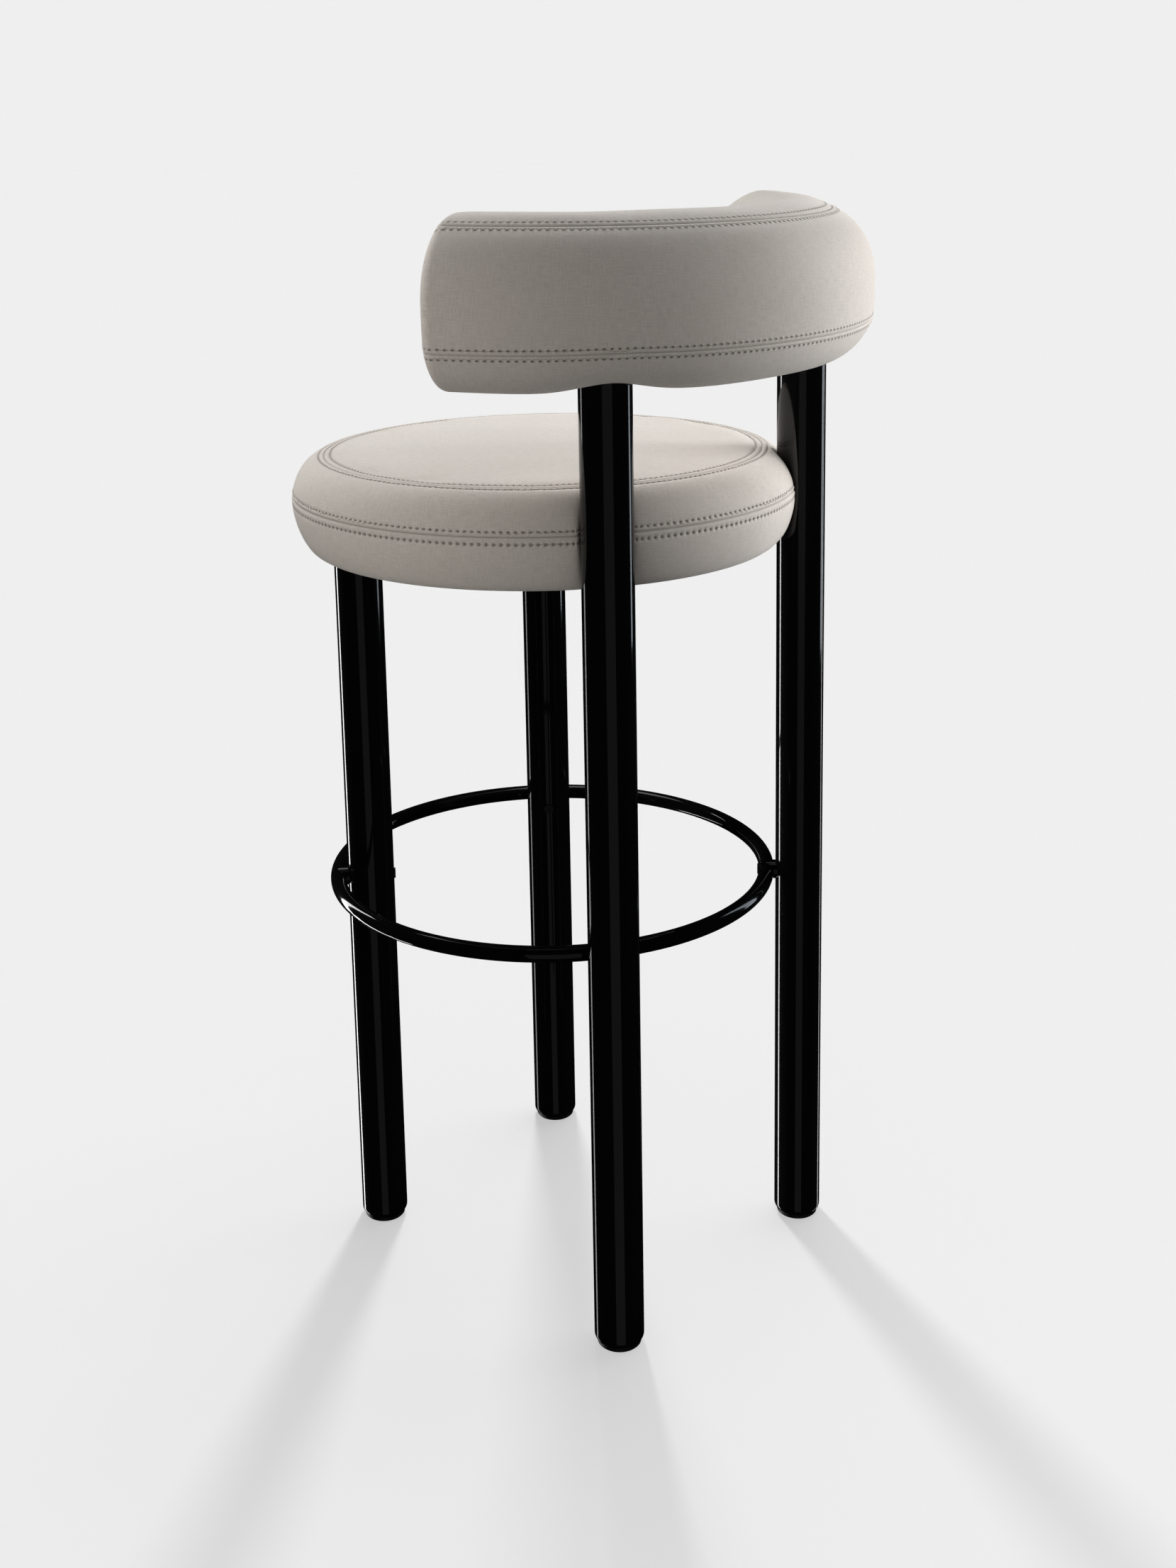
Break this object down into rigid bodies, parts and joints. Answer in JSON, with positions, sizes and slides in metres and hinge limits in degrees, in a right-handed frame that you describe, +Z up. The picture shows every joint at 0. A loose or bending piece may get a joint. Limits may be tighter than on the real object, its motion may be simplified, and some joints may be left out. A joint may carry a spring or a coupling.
{
  "type": "bar stool",
  "caption": "Tall stool with a round padded seat, a C-shaped padded backrest, upright black tube legs and a ring footrest.",
  "frame": {"origin": "on the floor, under the middle of the stool's outline seen from above; the middle of the seat and of the footrest ring is 33 mm in front of it, at x 0, y -0.033", "axes": "+Z up; the sitter faces -Y, so the backrest is at +Y; +X is the sitter's left"},
  "size_m": [0.5234, 0.5133, 0.9552],
  "materials": {
    "black_lacquer": "high gloss",
    "black_screws": "gloss",
    "glide_plastic": "matte",
    "zinc_hardware": "satin",
    "upholstery_fabric": "fine plain weave",
    "base_cloth": "plain",
    "foam": "open cell",
    "plywood": "sanded"
  },
  "bodies": {
    "root": {"front_leg_left": "black_lacquer", "front_leg_right": "black_lacquer", "rear_leg_left": "black_lacquer", "rear_leg_right": "black_lacquer", "glide_front_left": "glide_plastic", "glide_front_right": "glide_plastic", "glide_rear_left": "glide_plastic", "glide_rear_right": "glide_plastic", "footrest_ring": "black_lacquer", "spacer_front_left": "black_lacquer", "spacer_front_right": "black_lacquer", "spacer_rear_left": "black_lacquer", "spacer_rear_right": "black_lacquer", "front_ring_screws": "black_screws", "rear_ring_screws": "black_screws", "ring_rivet_nuts": "zinc_hardware", "front_plate_left": "black_lacquer", "front_plate_right": "black_lacquer", "front_plate_screws": "zinc_hardware", "rear_bracket_left": "black_lacquer", "rear_bracket_right": "black_lacquer", "rear_bracket_screws": "zinc_hardware", "seat_spacer_left": "black_lacquer", "seat_spacer_right": "black_lacquer", "seat_bolts": "zinc_hardware", "seat_rivet_nuts": "zinc_hardware", "board_inserts": "zinc_hardware", "seat_board": "plywood", "seat_foam": "foam", "seat_top_panel": "upholstery_fabric", "seat_side_band": "upholstery_fabric", "seat_lower_panel": "upholstery_fabric", "seat_base_cloth": "base_cloth", "backrest_frame": "black_lacquer", "backrest_grub_screws": "zinc_hardware", "backrest_foam": "foam", "backrest_outer_band": "upholstery_fabric", "backrest_inner_wrap": "upholstery_fabric"}
  },
  "joints": []
}
